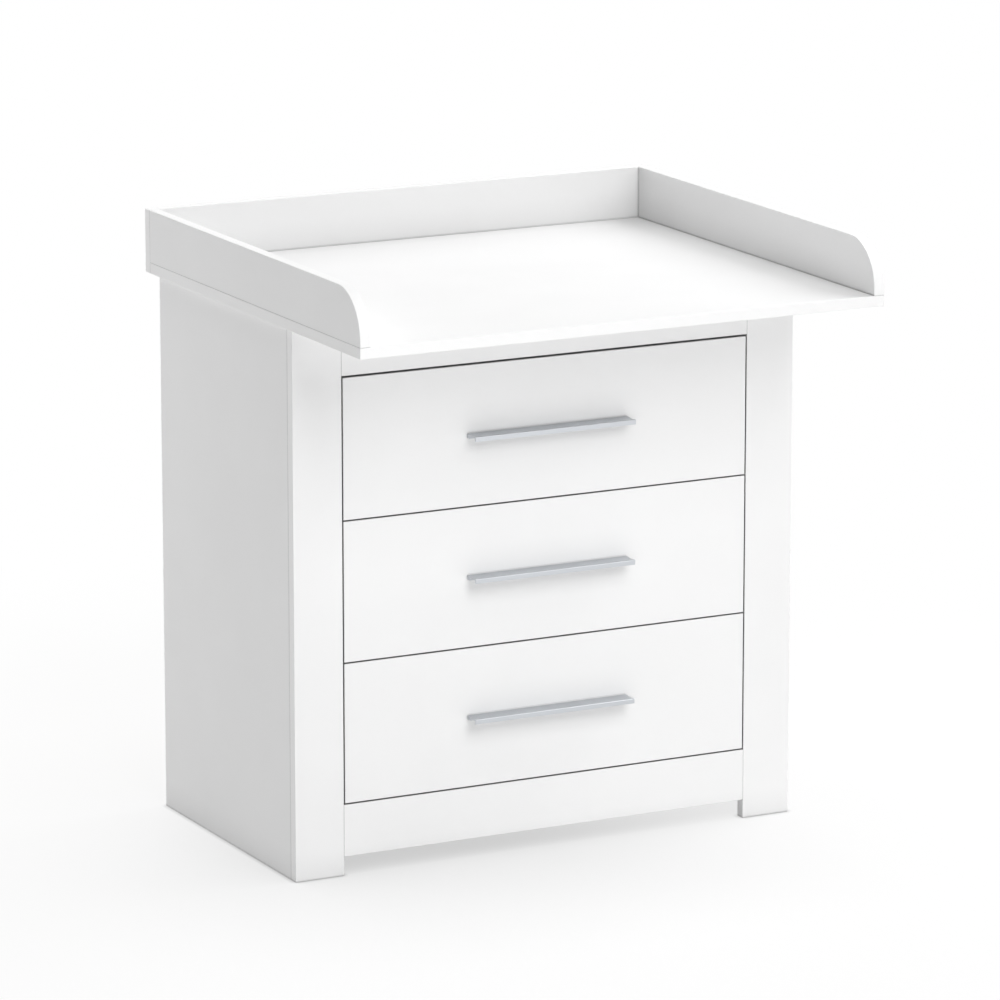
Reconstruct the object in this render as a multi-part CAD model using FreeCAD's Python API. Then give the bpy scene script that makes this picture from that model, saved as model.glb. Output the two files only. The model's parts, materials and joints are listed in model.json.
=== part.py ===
"""Changing dresser: a three-drawer chest with a railed changing top.

Millimetres, +Z up, drawers open towards -Y. The origin is on the floor, under the
centre of the box that holds the whole dresser.
"""
import FreeCAD, Part
import math
import os

from FreeCAD import Vector

# ---------------------------------------------------------------- carcass
carcass_width = 800.0           # across the outer faces of the side panels
carcass_depth = 448.0           # front of the posts to the back edge of the side panels
panel_thickness = 16.0          # side, inner, top and bottom panels
edge_bevel = 0.6                # eased corner of every banded board that shows
bevel_limit = 0.4               # most of a board's thickness that a bevel may take
back_panel_thickness = 3.0
back_panel_inset = 10.0         # behind the back panel, to the side panels' back edge
groove_depth = 8.0              # groove for the back panel
groove_play = 0.1               # on each side of a thin panel in its groove
groove_end_play = 0.5           # between a thin panel's edge and its groove's bottom

# ---------------------------------------------------------------- front frame
post_width = 76.0
post_thickness = 16.0
frame_rail_thickness = 16.0     # top rail and apron
floor_clearance = 28.0          # under the apron
apron_height = 76.0
top_rail_height = 75.0

# ---------------------------------------------------------------- drawers
drawer_front_height = 203.5
drawer_front_thickness = 16.0
drawer_gap = 2.0                # beside, below and between the fronts
top_gap = 3.0                   # between the upper front and the top rail
drawer_side_thickness = 12.0
drawer_side_lift = 20.0         # the side's lower edge above the front's lower edge
drawer_side_drop = 43.5         # the side's upper edge below the front's upper edge
drawer_rear_clearance = 19.0    # drawer back to the back panel
drawer_bottom_thickness = 3.0
drawer_bottom_lift = 12.0       # above the lower edge of the drawer sides
drawer_groove_depth = 5.0

# ---------------------------------------------------------------- handles
handle_length = 256.0
handle_depth = 27.0
handle_foot_height = 6.0        # rear edge, which lies on the drawer front
handle_foot_depth = 8.0
handle_lip_height = 7.0         # front edge, turned down
handle_lip_thickness = 3.0
handle_plate_thickness = 2.2
handle_dish = 0.7               # hollow of the upper face
handle_lip_radius = 1.2
handle_screw_inset = 16.0       # screw to the handle's end
handle_screw_radius = 2.0
handle_screw_grip = 7.0         # length of thread in the handle
handle_screw_head_radius = 4.5
handle_screw_head_height = 2.4
handle_screw_play = 0.05        # thread in the handle
handle_screw_hole_play = 0.3    # shank in the drawer front

# ---------------------------------------------------------------- roller runners
runner_space = 12.5             # inner wall to drawer side
runner_sheet = 1.2
runner_front_gap = 2.0          # runner to the back of the drawer front
cabinet_lip_width = 9.8
cabinet_top_lip_play = 0.7      # above the rear roller
roller_radius = 8.0
roller_width = 6.7
roller_play = 0.3               # roller to the flange or track that it bears on
roller_end_play = 0.3
roller_inset = 10.0             # roller axis to the runner's end
axle_radius = 2.5
axle_play = 0.05
axle_head_radius = 3.8
axle_head_width = 0.8
flange_play = 1.0               # drawer flange over the cabinet runner's upper lip
flange_width = 8.9              # drawer runner's upper flange
runner_drop = 3.0               # drawer side's lower edge below the roller track
roller_cutaway = 4.0            # upper lip ends this far behind the front roller
drawer_overlap = 110.0          # length of the drawer that stays in when it is open
stop_height = 2.5
stop_length = 3.0
stop_play = 0.3

# ---------------------------------------------------------------- changing top
changing_board_thickness = 16.0
side_overhang = 10.0
front_overhang = 238.0
rear_overhang = 10.0            # board behind the carcass, without the back rail
guard_thickness = 16.0
guard_height = 77.0             # above the changing board
guard_corner_radius = 70.0      # front upper corner of the side guards
guard_corner_rest = 2.0         # least straight edge left below that corner

# ---------------------------------------------------------------- fasteners
dowel_radius = 4.0
dowel_in_face = 10.0            # depth in the face of a board
dowel_in_edge = 20.0            # depth in the edge of a board
dowel_play = 0.1
post_dowel_inset = 120.0        # from the top and the foot of a post
cam_radius = 7.5
cam_height = 12.4
cam_reach = 34.0                # cam axis to the panel's end
cam_play = 0.1
cam_pocket_width = 7.0          # hollow round the bolt's head
cam_groove_length = 9.0         # driver slot in the cam's face
cam_groove_width = 1.8
cam_groove_depth = 1.6
cam_bolt_radius = 2.1
cam_bolt_head_radius = 3.2
cam_bolt_head_length = 2.6
cam_bolt_in_face = 11.0
cam_bolt_play = 0.2
guard_screw_radius = 3.0
guard_screw_length = 50.0
guard_screw_head_radius = 5.0
guard_screw_head_height = 3.5
guard_screw_inset = 140.0       # from each end of a side guard
back_screw_inset = 205.0        # from each end of the back guard
screw_play = 0.05

# ---------------------------------------------------------------- worked-out places
drawer_names = ("lower", "middle", "upper")
drawer_pitch = drawer_front_height + drawer_gap
stack_bottom = floor_clearance + apron_height + drawer_gap
stack_top = stack_bottom + len(drawer_names) * drawer_pitch - drawer_gap
rail_bottom = stack_top + top_gap
carcass_height = rail_bottom + top_rail_height

total_depth = front_overhang + carcass_depth + rear_overhang + guard_thickness
front_y = front_overhang - total_depth / 2      # plane of the posts and the drawer fronts
post_back_y = front_y + post_thickness
carcass_back_y = front_y + carcass_depth
back_panel_y = carcass_back_y - back_panel_inset - back_panel_thickness

side_x = carcass_width / 2                      # outer face of a side panel
side_inner_x = side_x - panel_thickness
opening_x = side_x - post_width                 # inner edge of a post
wall_outer_x = opening_x + panel_thickness

bottom_top_z = floor_clearance + apron_height   # upper face of the bottom panel
bottom_z = bottom_top_z - panel_thickness
ceiling_z = carcass_height - panel_thickness    # lower face of the carcass top panel

board_x = side_x + side_overhang
board_front_y = front_y - front_overhang
board_back_y = carcass_back_y + rear_overhang
board_top_z = carcass_height + changing_board_thickness
guard_top_z = board_top_z + guard_height
guard_x = board_x - guard_thickness / 2         # middle of a side guard

box_front_y = front_y + drawer_front_thickness
box_back_y = back_panel_y - drawer_rear_clearance
box_x = opening_x - runner_space                # outer face of a drawer side
box_inner_x = box_x - drawer_side_thickness

X = Vector(1, 0, 0)
Y = Vector(0, 1, 0)
Z = Vector(0, 0, 1)

pieces = {}     # node name -> list of solids
cuts = {}       # node name -> solids that are routed or drilled out of it


# ---------------------------------------------------------------- helpers
def block(x0, x1, y0, y1, z0, z1):
    """A box between two corners."""
    return Part.makeBox(x1 - x0, y1 - y0, z1 - z0, Vector(x0, y0, z0))


def rod(radius, start, direction, length):
    """A cylinder that runs from a point along a direction."""
    return Part.makeCylinder(radius, length, start, direction)


def ease(solid, thickness):
    """Bevel every edge as banding does, never by more than the board allows."""
    bevel = min(edge_bevel, bevel_limit * thickness)
    return solid.makeChamfer(bevel, solid.Edges)


def board(x0, x1, y0, y1, z0, z1):
    """A banded board with eased edges."""
    return ease(block(x0, x1, y0, y1, z0, z1), min(x1 - x0, y1 - y0, z1 - z0))


def extrude(points, direction):
    """A prism over a closed outline of straight runs."""
    return Part.Face(Part.makePolygon(points + points[:1])).extrude(direction)


def turned(profile, start, direction):
    """Turn a profile of (radius, distance along the axis) pairs about an axis."""
    points = [Vector(radius, 0, along) for radius, along in profile]
    face = Part.Face(Part.makePolygon(points + points[:1]))
    solid = face.revolve(Vector(0, 0, 0), Z, 360)
    solid.Placement = FreeCAD.Placement(start, FreeCAD.Rotation(Z, direction))
    return solid


def mirrored(solid):
    """The right-hand twin of a left-hand piece."""
    return solid.mirror(Vector(0, 0, 0), X)


def add(name, *solids):
    pieces.setdefault(name, []).extend(solids)


def cut(name, *tools):
    cuts.setdefault(name, []).extend(tools)


# ---------------------------------------------------------------- fastener library
def dowel_joint(face_name, edge_name, point, direction):
    """A dowel across a butt joint: from the face of one board into the edge of another."""
    start = point - direction * dowel_in_face
    length = dowel_in_face + dowel_in_edge
    add("wooden_dowels", rod(dowel_radius, start, direction, length))
    for name in (face_name, edge_name):
        cut(name, rod(dowel_radius + dowel_play, start, direction, length))


def cam_joint(face_name, edge_name, point, direction, open_side):
    """A cam lock in the edge board that pulls on a bolt screwed into the face board.

    open_side is the way that the cam's bore opens: up or down.
    """
    bolt_length = cam_bolt_in_face + cam_reach + cam_bolt_head_length / 2
    head_start = bolt_length - cam_bolt_head_length
    bolt_start = point - direction * cam_bolt_in_face
    profile = [(0, 0), (cam_bolt_radius, 0), (cam_bolt_radius, head_start),
               (cam_bolt_head_radius, head_start), (cam_bolt_head_radius, bolt_length),
               (0, bolt_length)]
    add("cam_bolts", turned(profile, bolt_start, direction))
    cut(face_name, rod(cam_bolt_radius + screw_play, bolt_start, direction,
                       cam_bolt_in_face))
    cut(edge_name, rod(cam_bolt_head_radius + cam_bolt_play, point, direction, cam_reach))

    centre = point + direction * cam_reach
    cam_base = centre - open_side * (cam_height - panel_thickness / 2)
    cam = rod(cam_radius, cam_base, open_side, cam_height)
    # The bolt's head sits in a pocket, and its shank comes in through a narrower slot.
    pocket = cam_pocket_width / 2
    neck = cam_bolt_radius + cam_bolt_play
    hollow = block(-pocket, pocket, -pocket, pocket, -pocket, pocket)
    hollow = hollow.fuse(block(-2 * cam_radius, 0, -neck, neck, -neck, neck))
    hollow.Placement = FreeCAD.Placement(centre, FreeCAD.Rotation(X, direction))
    groove_z = cam_base + open_side * (cam_height - cam_groove_depth / 2)
    groove = block(-cam_groove_length / 2, cam_groove_length / 2,
                   -cam_groove_width / 2, cam_groove_width / 2,
                   -cam_groove_depth / 2, cam_groove_depth / 2)
    groove.translate(groove_z)
    add("cam_locks", cam.cut([hollow, groove]))
    cut(edge_name, rod(cam_radius + cam_play, cam_base - open_side * cam_play, open_side,
                       cam_height + 2 * cam_play))


def countersunk(play, start, direction):
    """The form of a guard screw or, with some play, of the bore that takes it."""
    radius = guard_screw_radius + play
    end = guard_screw_length + play
    profile = [(0, 0), (guard_screw_head_radius + play, 0),
               (radius, guard_screw_head_height), (radius, end), (0, end)]
    return turned(profile, start, direction)


def guard_screw(boards, start, direction):
    """A screw through the first board into the next, flush with the first one's face."""
    add("guard_rail_screws", countersunk(0, start, direction))
    for name in boards:
        cut(name, countersunk(screw_play, start, direction))


# ---------------------------------------------------------------- carcass
def make_carcass():
    """Side, inner, top, bottom and back panels, with the back panel in its grooves."""
    left_side = board(-side_x, -side_inner_x, post_back_y, carcass_back_y,
                      0, carcass_height)
    add("left_side_panel", left_side)
    add("right_side_panel", mirrored(left_side))
    left_wall = block(-wall_outer_x, -opening_x, post_back_y, back_panel_y,
                      bottom_top_z, ceiling_z)
    add("left_inner_wall", left_wall)
    add("right_inner_wall", mirrored(left_wall))
    add("bottom_panel", block(-side_inner_x, side_inner_x, post_back_y, carcass_back_y,
                              bottom_z, bottom_top_z))
    add("carcass_top_panel", block(-side_inner_x, side_inner_x, post_back_y,
                                   carcass_back_y, ceiling_z, carcass_height))

    reach = groove_depth - groove_end_play
    back_x = side_inner_x + reach
    back_low = bottom_top_z - reach
    back_high = ceiling_z + reach
    add("back_panel", block(-back_x, back_x, back_panel_y,
                            back_panel_y + back_panel_thickness, back_low, back_high))
    groove = block(-side_inner_x - groove_depth, side_inner_x + groove_depth,
                   back_panel_y - groove_play,
                   back_panel_y + back_panel_thickness + groove_play,
                   bottom_top_z - groove_depth, ceiling_z + groove_depth)
    for name in ("left_side_panel", "right_side_panel", "bottom_panel",
                 "carcass_top_panel"):
        cut(name, groove)


def make_front_frame():
    """Posts, top rail and apron, flush with each other."""
    left_post = board(-side_x, -opening_x, front_y, post_back_y, 0, carcass_height)
    add("left_front_post", left_post)
    add("right_front_post", mirrored(left_post))
    rail_back_y = front_y + frame_rail_thickness
    add("top_rail", board(-opening_x, opening_x, front_y, rail_back_y,
                          rail_bottom, carcass_height))
    add("apron", board(-opening_x, opening_x, front_y, rail_back_y,
                       floor_clearance, bottom_top_z))


def join_carcass():
    """Dowels of the posts and rails, and cam fittings of the two panels between the sides."""
    rail_middle_y = front_y + frame_rail_thickness / 2
    cam_y = (post_back_y + back_panel_y) / 2
    for sign, hand in ((-1, "left"), (1, "right")):
        post = hand + "_front_post"
        side = hand + "_side_panel"
        inward = X * -sign
        side_middle_x = sign * (side_x - panel_thickness / 2)
        for dowel_z in (post_dowel_inset, carcass_height - post_dowel_inset):
            dowel_joint(post, side, Vector(side_middle_x, post_back_y, dowel_z), Y)
        for rail, low, high in (("top_rail", rail_bottom, carcass_height),
                                ("apron", floor_clearance, bottom_top_z)):
            rail_end = Vector(sign * opening_x, rail_middle_y, (low + high) / 2)
            dowel_joint(post, rail, rail_end, inward)
        for panel, low in (("bottom_panel", bottom_z), ("carcass_top_panel", ceiling_z)):
            panel_end = Vector(sign * side_inner_x, cam_y, low + panel_thickness / 2)
            cam_joint(side, panel, panel_end, inward, -Z)


# ---------------------------------------------------------------- changing top
def make_changing_top():
    """Changing board with its three guard rails."""
    add("changing_board", board(-board_x, board_x, board_front_y, board_back_y,
                                carcass_height, board_top_z))
    radius = min(guard_corner_radius, guard_height - guard_corner_rest)
    arc_y = board_front_y + radius
    arc_z = guard_top_z - radius
    bow = radius * math.sqrt(0.5)
    x = -board_x
    front_low = Vector(x, board_front_y, board_top_z)
    arc_start = Vector(x, board_front_y, arc_z)
    arc_middle = Vector(x, arc_y - bow, arc_z + bow)
    arc_end = Vector(x, arc_y, guard_top_z)
    back_high = Vector(x, board_back_y, guard_top_z)
    back_low = Vector(x, board_back_y, board_top_z)
    outline = Part.Wire([
        Part.LineSegment(front_low, arc_start).toShape(),
        Part.Arc(arc_start, arc_middle, arc_end).toShape(),
        Part.LineSegment(arc_end, back_high).toShape(),
        Part.LineSegment(back_high, back_low).toShape(),
        Part.LineSegment(back_low, front_low).toShape(),
    ])
    left_guard = ease(Part.Face(outline).extrude(X * guard_thickness), guard_thickness)
    add("left_guard_rail", left_guard)
    add("right_guard_rail", mirrored(left_guard))
    add("back_guard_rail", board(-board_x, board_x, board_back_y,
                                 board_back_y + guard_thickness, carcass_height,
                                 guard_top_z))


def join_changing_top():
    """Screws up through the board into the side guards, and through the back guard."""
    for sign, guard in ((-1, "left_guard_rail"), (1, "right_guard_rail")):
        for y in (board_front_y + guard_screw_inset, board_back_y - guard_screw_inset):
            guard_screw(("changing_board", guard), Vector(sign * guard_x, y, carcass_height), Z)
        start = Vector(sign * (board_x - back_screw_inset), board_back_y + guard_thickness,
                       carcass_height + changing_board_thickness / 2)
        guard_screw(("back_guard_rail", "changing_board"), start, -Y)


# ---------------------------------------------------------------- runners
def roller(start, direction):
    """A nylon roller whose near end is at start."""
    bore = axle_radius + axle_play
    profile = [(bore, 0), (roller_radius, 0), (roller_radius, roller_width),
               (bore, roller_width)]
    return turned(profile, start, direction)


def axle(start, direction):
    """A riveted axle: a journal, and a head that keeps the roller on it."""
    journal = roller_width + 2 * roller_end_play
    end = journal + axle_head_width
    profile = [(0, 0), (axle_radius, 0), (axle_radius, journal),
               (axle_head_radius, journal), (axle_head_radius, end), (0, end)]
    return turned(profile, start, direction)


def make_runners(name, track_z):
    """The left and right roller runners of one drawer, with their rollers.

    track_z is the upper face of the track that the drawer's rear rollers run on.
    """
    wall_x = -opening_x                     # left inner wall
    start_y = box_front_y + runner_front_gap
    end_y = box_back_y
    length = end_y - start_y
    run = Y * length
    sheet = runner_sheet

    # Cabinet runner: a C of sheet steel, open towards the drawer.
    lip_z = track_z + roller_play + 2 * roller_radius + cabinet_top_lip_play
    web = block(wall_x, wall_x + sheet, start_y, end_y, track_z - sheet, lip_z + sheet)
    track = block(wall_x, wall_x + cabinet_lip_width, start_y, end_y, track_z - sheet,
                  track_z)
    front_axis_y = start_y + roller_inset
    lip_start_y = front_axis_y + roller_radius + roller_cutaway
    lip = block(wall_x, wall_x + cabinet_lip_width, lip_start_y, end_y, lip_z,
                lip_z + sheet)
    rear_axis_y = end_y - roller_inset
    open_axis_y = rear_axis_y - (length + runner_front_gap - drawer_overlap)
    rise = roller_radius + roller_play - stop_height
    half_chord = math.sqrt(max(roller_radius ** 2 - rise ** 2, 0))
    stop_y = open_axis_y - half_chord - stop_play
    stop = block(wall_x + sheet, wall_x + cabinet_lip_width, stop_y - stop_length, stop_y,
                 track_z - sheet, track_z + stop_height)
    flange_z = lip_z + sheet + flange_play      # lower face of the drawer's flange
    front_axis_z = flange_z - roller_play - roller_radius
    web_face = Vector(wall_x + sheet, front_axis_y, front_axis_z)
    cabinet = web.fuse([track, lip, stop, axle(web_face, X)]).removeSplitter()
    add("left_" + name + "_cabinet_runner", cabinet)
    add("right_" + name + "_cabinet_runner", mirrored(cabinet))
    front_roller = roller(web_face + X * roller_end_play, X)
    add(name + "_front_rollers", front_roller, mirrored(front_roller))

    # Drawer runner: a Z of sheet steel round the lower edge of the drawer side.
    side_z = track_z - runner_drop
    face_x = -box_x
    outline = [
        Vector(face_x + drawer_side_thickness, start_y, side_z),
        Vector(face_x, start_y, side_z),
        Vector(face_x, start_y, flange_z + sheet),
        Vector(face_x - sheet - flange_width, start_y, flange_z + sheet),
        Vector(face_x - sheet - flange_width, start_y, flange_z),
        Vector(face_x - sheet, start_y, flange_z),
        Vector(face_x - sheet, start_y, side_z - sheet),
        Vector(face_x + drawer_side_thickness, start_y, side_z - sheet),
    ]
    profile = extrude(outline, run)
    rear_axis_z = track_z + roller_play + roller_radius
    rear_face = Vector(face_x - sheet, rear_axis_y, rear_axis_z)
    drawer = profile.fuse(axle(rear_face, -X)).removeSplitter()
    add("left_" + name + "_drawer_runner", drawer)
    add("right_" + name + "_drawer_runner", mirrored(drawer))
    rear_roller = roller(rear_face - X * roller_end_play, -X)
    add(name + "_rear_rollers", rear_roller, mirrored(rear_roller))


# ---------------------------------------------------------------- drawers
def handle(centre_z):
    """An extruded aluminium profile: foot on the drawer front, dished plate, front lip."""
    x = -handle_length / 2
    top = centre_z + handle_lip_height / 2
    lip_bottom = top - handle_lip_height
    foot_bottom = top - handle_foot_height
    plate_bottom = top - handle_dish - handle_plate_thickness
    nose_y = front_y - handle_depth
    lip_back_y = nose_y + handle_lip_thickness
    foot_front_y = front_y - handle_foot_depth
    dish_start_y = front_y - handle_foot_depth / 2
    bow = handle_lip_radius * (1 - math.sqrt(0.5))

    round_front = Vector(x, nose_y, top - handle_lip_radius)
    round_middle = Vector(x, nose_y + bow, top - bow)
    round_back = Vector(x, nose_y + handle_lip_radius, top)
    dish_front = Vector(x, lip_back_y, top)
    dish_middle = Vector(x, (lip_back_y + dish_start_y) / 2, top - handle_dish)
    dish_back = Vector(x, dish_start_y, top)
    corners = [
        round_front,
        Vector(x, nose_y, lip_bottom),
        Vector(x, lip_back_y, lip_bottom),
        Vector(x, lip_back_y, plate_bottom),
        Vector(x, foot_front_y, plate_bottom),
        Vector(x, foot_front_y, foot_bottom),
        Vector(x, front_y, foot_bottom),
        Vector(x, front_y, top),
        dish_back,
    ]
    edges = [Part.LineSegment(a, b).toShape() for a, b in zip(corners, corners[1:])]
    edges.append(Part.Arc(dish_back, dish_middle, dish_front).toShape())
    edges.append(Part.LineSegment(dish_front, round_back).toShape())
    edges.append(Part.Arc(round_back, round_middle, round_front).toShape())
    return Part.Face(Part.Wire(edges)).extrude(X * handle_length)


def make_drawer(name, bottom):
    """One drawer: front, box, thin bottom in its grooves, handle and handle screws."""
    top = bottom + drawer_front_height
    side_low = bottom + drawer_side_lift
    side_high = top - drawer_side_drop
    front_x = opening_x - drawer_gap
    prefix = name + "_drawer_"
    add(prefix + "front", board(-front_x, front_x, front_y, box_front_y, bottom, top))
    left_side = block(-box_x, -box_inner_x, box_front_y, box_back_y, side_low, side_high)
    add(prefix + "left_side", left_side)
    add(prefix + "right_side", mirrored(left_side))
    back_y = box_back_y - drawer_side_thickness
    add(prefix + "back", block(-box_inner_x, box_inner_x, back_y, box_back_y, side_low,
                               side_high))

    floor_z = side_low + drawer_bottom_lift
    reach = drawer_groove_depth - groove_end_play
    add(prefix + "bottom", block(-box_inner_x - reach, box_inner_x + reach,
                                 box_front_y - reach, back_y + reach,
                                 floor_z, floor_z + drawer_bottom_thickness))
    groove = block(-box_inner_x - drawer_groove_depth, box_inner_x + drawer_groove_depth,
                   box_front_y - drawer_groove_depth, back_y + drawer_groove_depth,
                   floor_z - groove_play, floor_z + drawer_bottom_thickness + groove_play)
    for part_name in ("front", "left_side", "right_side", "back"):
        cut(prefix + part_name, groove)

    centre_z = (bottom + top) / 2
    add(prefix + "handle", handle(centre_z))
    screw_z = centre_z + handle_lip_height / 2 - handle_foot_height / 2
    shank_length = drawer_front_thickness + handle_screw_grip
    for sign in (-1, 1):
        x = sign * (handle_length / 2 - handle_screw_inset)
        seat = Vector(x, box_front_y, screw_z)
        shank = rod(handle_screw_radius, seat, -Y, shank_length)
        head = rod(handle_screw_head_radius, seat, Y, handle_screw_head_height)
        add(prefix + "handle_screws", shank.fuse(head).removeSplitter())
        cut(prefix + "front", rod(handle_screw_radius + handle_screw_hole_play, seat, -Y,
                                  drawer_front_thickness))
        cut(prefix + "handle", rod(handle_screw_radius + handle_screw_play, seat, -Y,
                                   shank_length + handle_screw_play))
    make_runners(name, side_low + runner_drop)


# ---------------------------------------------------------------- build and write
def main():
    make_carcass()
    make_front_frame()
    join_carcass()
    make_changing_top()
    join_changing_top()
    for index, name in enumerate(drawer_names):
        make_drawer(name, stack_bottom + index * drawer_pitch)
    os.makedirs("parts", exist_ok=True)
    for name, solids in pieces.items():
        if name in cuts:
            solids = [solid.cut(cuts[name]) for solid in solids]
        shape = solids[0] if len(solids) == 1 else Part.makeCompound(solids)
        shape.exportStep("parts/" + name + ".step")
        print(name, len(shape.Solids), shape.isValid(), round(shape.Volume))


main()
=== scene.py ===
"""Changing dresser: the finishes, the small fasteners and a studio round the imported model.

Metres, +Z up. The drawers open towards -Y, and the origin is on the floor under the
middle of the whole dresser.
"""
import json
import math

import bmesh
import bpy
from bpy.props import FloatProperty, FloatVectorProperty, IntProperty, PointerProperty
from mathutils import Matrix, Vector


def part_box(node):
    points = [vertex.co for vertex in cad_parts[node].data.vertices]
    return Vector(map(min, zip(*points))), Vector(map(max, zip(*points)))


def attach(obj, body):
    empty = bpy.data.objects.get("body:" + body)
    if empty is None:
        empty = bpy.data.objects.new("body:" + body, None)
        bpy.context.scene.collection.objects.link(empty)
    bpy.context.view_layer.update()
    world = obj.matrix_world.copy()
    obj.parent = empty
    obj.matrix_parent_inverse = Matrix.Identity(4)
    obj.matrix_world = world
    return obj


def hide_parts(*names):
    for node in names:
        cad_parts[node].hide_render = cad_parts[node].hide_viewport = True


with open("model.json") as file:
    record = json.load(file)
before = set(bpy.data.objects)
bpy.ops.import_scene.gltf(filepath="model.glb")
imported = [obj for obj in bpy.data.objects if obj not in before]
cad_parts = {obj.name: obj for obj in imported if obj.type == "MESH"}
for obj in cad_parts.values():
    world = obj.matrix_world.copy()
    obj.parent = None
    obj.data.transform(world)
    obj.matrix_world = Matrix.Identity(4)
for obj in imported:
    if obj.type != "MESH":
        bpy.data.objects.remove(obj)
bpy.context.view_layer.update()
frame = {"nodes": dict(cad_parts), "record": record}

bl_info = {
    "name": "Changing Dresser",
    "version": (1, 0, 0),
    "blender": (4, 5, 0),
    "location": "View3D > Sidebar > Dresser",
    "description": "Finishes, small fasteners and studio of a changing dresser",
    "category": "Object",
}

DRAWERS = ("lower", "middle", "upper")
MILLIMETRE = 0.001

# Node kinds that nearly every tree uses
MATH = "ShaderNodeMath"
MIX = "ShaderNodeMix"
MAP_RANGE = "ShaderNodeMapRange"
OCCLUSION = "ShaderNodeAmbientOcclusion"


# ------------------------------------------------------------------ colours and nodes
PATTERN_MIDDLE = {"From Min": 0.3, "From Max": 0.7}     # where most of a noise pattern lies
FLAT_FACE = 0.9                     # least part of a normal along an axis, on a flat face
# Painted shade: ambient occlusion darkens the boards' colour in grooves and inner corners.
GROOVE_OPENNESS = (0.35, 0.9)       # of a groove's bottom, and of the open board
CORNER_OPENNESS = (0.5, 1.0)        # where two boards meet square, and on the open board
LEAST_ON_FACE = 0.7                 # of its colour, that a broad face keeps in the painted shade beside a joint


def linear(hex_code):
    """An sRGB hex colour as linear red, green and blue."""
    levels = [int(hex_code[i:i + 2], 16) / 255 for i in (0, 2, 4)]
    return tuple(v / 12.92 if v <= 0.04045 else ((v + 0.055) / 1.055) ** 2.4 for v in levels)


def add_node(tree, kind, inputs=None, output=None, **settings):
    """Add a node with its settings and links, and return it or the output that is named.

    An input is a value, a colour of three parts, or an output socket to link.
    """
    node = tree.nodes.new(kind)
    for name, value in settings.items():
        setattr(node, name, value)
    for key, value in (inputs or {}).items():
        socket = node.inputs[key]
        if isinstance(value, bpy.types.NodeSocket):
            tree.links.new(value, socket)
        else:
            socket.default_value = (*value, 1) if socket.type == "RGBA" else value
    return node.outputs[output] if output else node


def new_material(name):
    """A material with a bare tree, and the Object coordinates in it."""
    material = bpy.data.materials.new(name)
    material.use_nodes = True
    tree = material.node_tree
    tree.nodes.clear()
    return material, tree, add_node(tree, "ShaderNodeTexCoord", output="Object")


def grain(tree, place, size, detail=2.0, stretch=(1, 1, 1)):
    """A pattern from 0 to 1 with features of about this size.

    They are longer along an axis whose stretch is under 1.
    """
    scaled = add_node(tree, "ShaderNodeMapping", {"Vector": place, "Scale": stretch},
                      output="Vector")
    return add_node(tree, "ShaderNodeTexNoise",
                    {"Vector": scaled, "Scale": 1 / size, "Detail": detail}, output="Fac")


def two_tones(tree, pattern, first, second, share=1.0):
    """A first colour, and up to this share of a second one where a pattern is high."""
    spread = add_node(tree, MAP_RANGE, {"Value": pattern, **PATTERN_MIDDLE, "To Max": share},
                      output="Result")
    return add_node(tree, MIX, {"Factor": spread, "A": first, "B": second}, output="Result",
                    data_type="RGBA")


def end_in_surface(tree, relief, depth, inputs):
    """End a material in a surface with a pattern as its relief, so many metres deep."""
    normal = add_node(tree, "ShaderNodeBump",
                      {"Height": relief, "Distance": depth, "Strength": 1.0},
                      output="Normal")
    surface = add_node(tree, "ShaderNodeBsdfPrincipled", {**inputs, "Normal": normal},
                       output="BSDF")
    add_node(tree, "ShaderNodeOutputMaterial", {"Surface": surface})


def openness(tree, reach, closed, clear, least=0.0):
    """From least, where other boards stand this close, to 1 in the open."""
    near = add_node(tree, OCCLUSION, {"Distance": reach}, output="AO", samples=8)
    return add_node(tree, MAP_RANGE,
                    {"Value": near, "From Min": closed, "From Max": clear, "To Min": least},
                    output="Result")


def faces_along(tree, axis):
    """1 on flat faces across an axis, on both sides, and 0 on all others and on bevels."""
    normal = add_node(tree, "ShaderNodeNewGeometry", output="True Normal")
    part = add_node(tree, "ShaderNodeSeparateXYZ", {"Vector": normal}).outputs[axis]
    size = add_node(tree, MATH, {0: part}, output="Value", operation="ABSOLUTE")
    return add_node(tree, MATH, {0: size, 1: FLAT_FACE}, output="Value",
                    operation="GREATER_THAN")


def paint_joint_shade(tree, colour, face, look):
    """Paint shade into a colour in the grooves between boards, and softly in their inner
    corners.
    """
    groove = openness(tree, look.groove_shade_reach, *GROOVE_OPENNESS)
    least = add_node(tree, MATH, {0: face, 1: LEAST_ON_FACE}, output="Value",
                     operation="MULTIPLY")
    sharp = add_node(tree, MATH, {0: groove, 1: least}, output="Value", operation="MAXIMUM")
    soft = openness(tree, look.corner_shade_reach, *CORNER_OPENNESS, least=1 - look.corner_shade_depth)
    kept = add_node(tree, MATH, {0: sharp, 1: soft}, output="Value", operation="MULTIPLY")
    return add_node(tree, MIX, {"Factor": kept, "A": look.joint_line_and_shade_colour, "B": colour},
                    output="Result", data_type="RGBA")


def shade_post_seams(tree, place, colour, look):
    """Draw the glue line at each edge of a front post's side, which is seen edge on.

    The real one is a hair line, which wouldn't show, so it is drawn wider.
    """
    along = add_node(tree, "ShaderNodeSeparateXYZ", {"Vector": place}, output="Y")
    side = faces_along(tree, 0)
    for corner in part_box("left_front_post"):
        offset = add_node(tree, MATH, {0: along, 1: corner.y}, output="Value",
                          operation="SUBTRACT")
        distance = add_node(tree, MATH, {0: offset}, output="Value", operation="ABSOLUTE")
        line = add_node(tree, MAP_RANGE,
                        {"Value": distance, "From Max": look.seam_width,
                         "To Min": 1 - look.seam_depth}, output="Result")
        kept = add_node(tree, MIX, {"Factor": side, "A": 1.0, "B": line}, output="Result")
        colour = add_node(tree, MIX, {"Factor": kept, "A": look.joint_line_and_shade_colour, "B": colour},
                          output="Result", data_type="RGBA")
    return colour


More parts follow.
